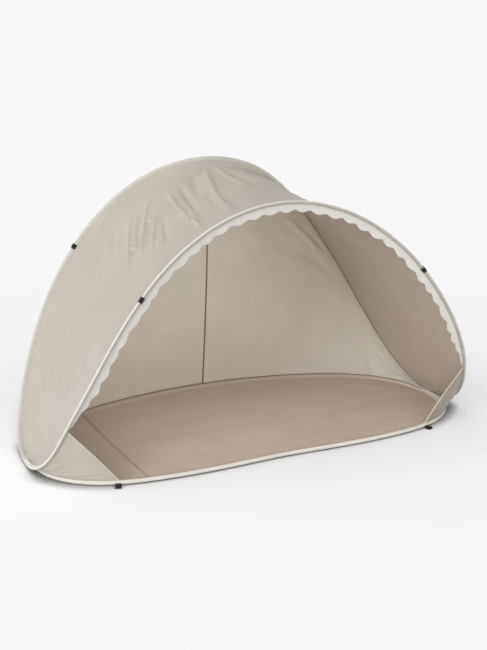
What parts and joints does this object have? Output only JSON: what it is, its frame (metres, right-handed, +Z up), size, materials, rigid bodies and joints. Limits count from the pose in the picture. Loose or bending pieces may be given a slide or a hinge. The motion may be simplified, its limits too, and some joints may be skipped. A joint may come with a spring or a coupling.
{
  "type": "pop-up beach shelter",
  "caption": "Pop-up beach shelter: sprung hoops carry a saddle canopy, a back wall, corner gussets and a flat floor, open at the front under a scalloped trim.",
  "frame": {"origin": "on the ground, at the middle of the shelter's width and depth", "axes": "+Z up, +X from the left corner to the right one as seen from the open front, -Y out of the open front"},
  "size_m": [2.232, 1.1094, 1.2809],
  "materials": {
    "spring_steel": "bright spring steel wire",
    "canopy_fabric": "plain woven polyester, slight sheen",
    "wall_fabric": "plain woven polyester, slight sheen",
    "floor_fabric": "coated groundsheet, matt",
    "binding": "folded binding tape",
    "trim_fabric": "plain woven, matt",
    "seam_tape": "seam tape, matt",
    "webbing": "ribbed webbing, matt"
  },
  "bodies": {
    "rear_hoop": {"rear_hoop_wire": "spring_steel", "canopy_ring_ferrule": "spring_steel", "rear_hoop_sleeve": "binding", "canopy_panel": "canopy_fabric", "wall_centre_seam": "seam_tape", "wall_top_tape": "seam_tape", "back_wall_left": "wall_fabric", "corner_wrap_left": "binding", "peg_loop_rear_hoop_left": "webbing", "back_wall_right": "wall_fabric", "corner_wrap_right": "binding", "peg_loop_rear_hoop_right": "webbing"},
    "floor_rear": {"floor_rear_wire": "spring_steel", "floor_ring_ferrule": "spring_steel", "floor_rear_sleeve": "binding", "wall_foot_tape": "seam_tape", "floor_sheet_rear": "floor_fabric", "floor_seam_rear_left": "seam_tape", "peg_loop_floor_rear_left": "webbing", "floor_seam_rear_right": "seam_tape", "peg_loop_floor_rear_right": "webbing"},
    "front_hoop": {"front_hoop_wire": "spring_steel", "front_hoop_sleeve": "binding", "scalloped_trim": "trim_fabric", "gusset_left": "canopy_fabric", "gusset_hem_left": "binding", "peg_loop_front_hoop_left": "webbing", "gusset_right": "canopy_fabric", "gusset_hem_right": "binding", "peg_loop_front_hoop_right": "webbing"},
    "floor_front": {"floor_front_wire": "spring_steel", "floor_front_sleeve": "binding", "floor_sheet_front": "floor_fabric", "floor_seam_front_left": "seam_tape", "peg_loop_floor_front_left": "webbing", "floor_seam_front_right": "seam_tape", "peg_loop_floor_front_right": "webbing"}
  },
  "joints": [
    {"name": "floor_rear_fold", "type": "hinge", "parent": "rear_hoop", "child": "floor_rear", "pos_m": [0, -0.05627, 0.002], "axis": [-1, 0, 0], "range_deg": [-60, 0], "stiffness_Nm_per_rad": 4, "springref_deg": 28.65, "deforming": ["back_wall_left", "back_wall_right", "wall_centre_seam", "wall_top_tape"]},
    {"name": "front_hoop_fold", "type": "hinge", "parent": "rear_hoop", "child": "front_hoop", "pos_m": [0, -0.05627, 0.002], "axis": [1, 0, 0], "range_deg": [-35, 0], "stiffness_Nm_per_rad": 6, "springref_deg": 28.65, "deforming": ["canopy_panel"]},
    {"name": "floor_front_fold", "type": "hinge", "parent": "front_hoop", "child": "floor_front", "pos_m": [0, -0.05627, 0.002], "axis": [1, 0, 0], "range_deg": [-50, 0], "stiffness_Nm_per_rad": 4, "springref_deg": 28.65, "deforming": ["gusset_left", "gusset_right", "gusset_hem_left", "gusset_hem_right"]}
  ]
}
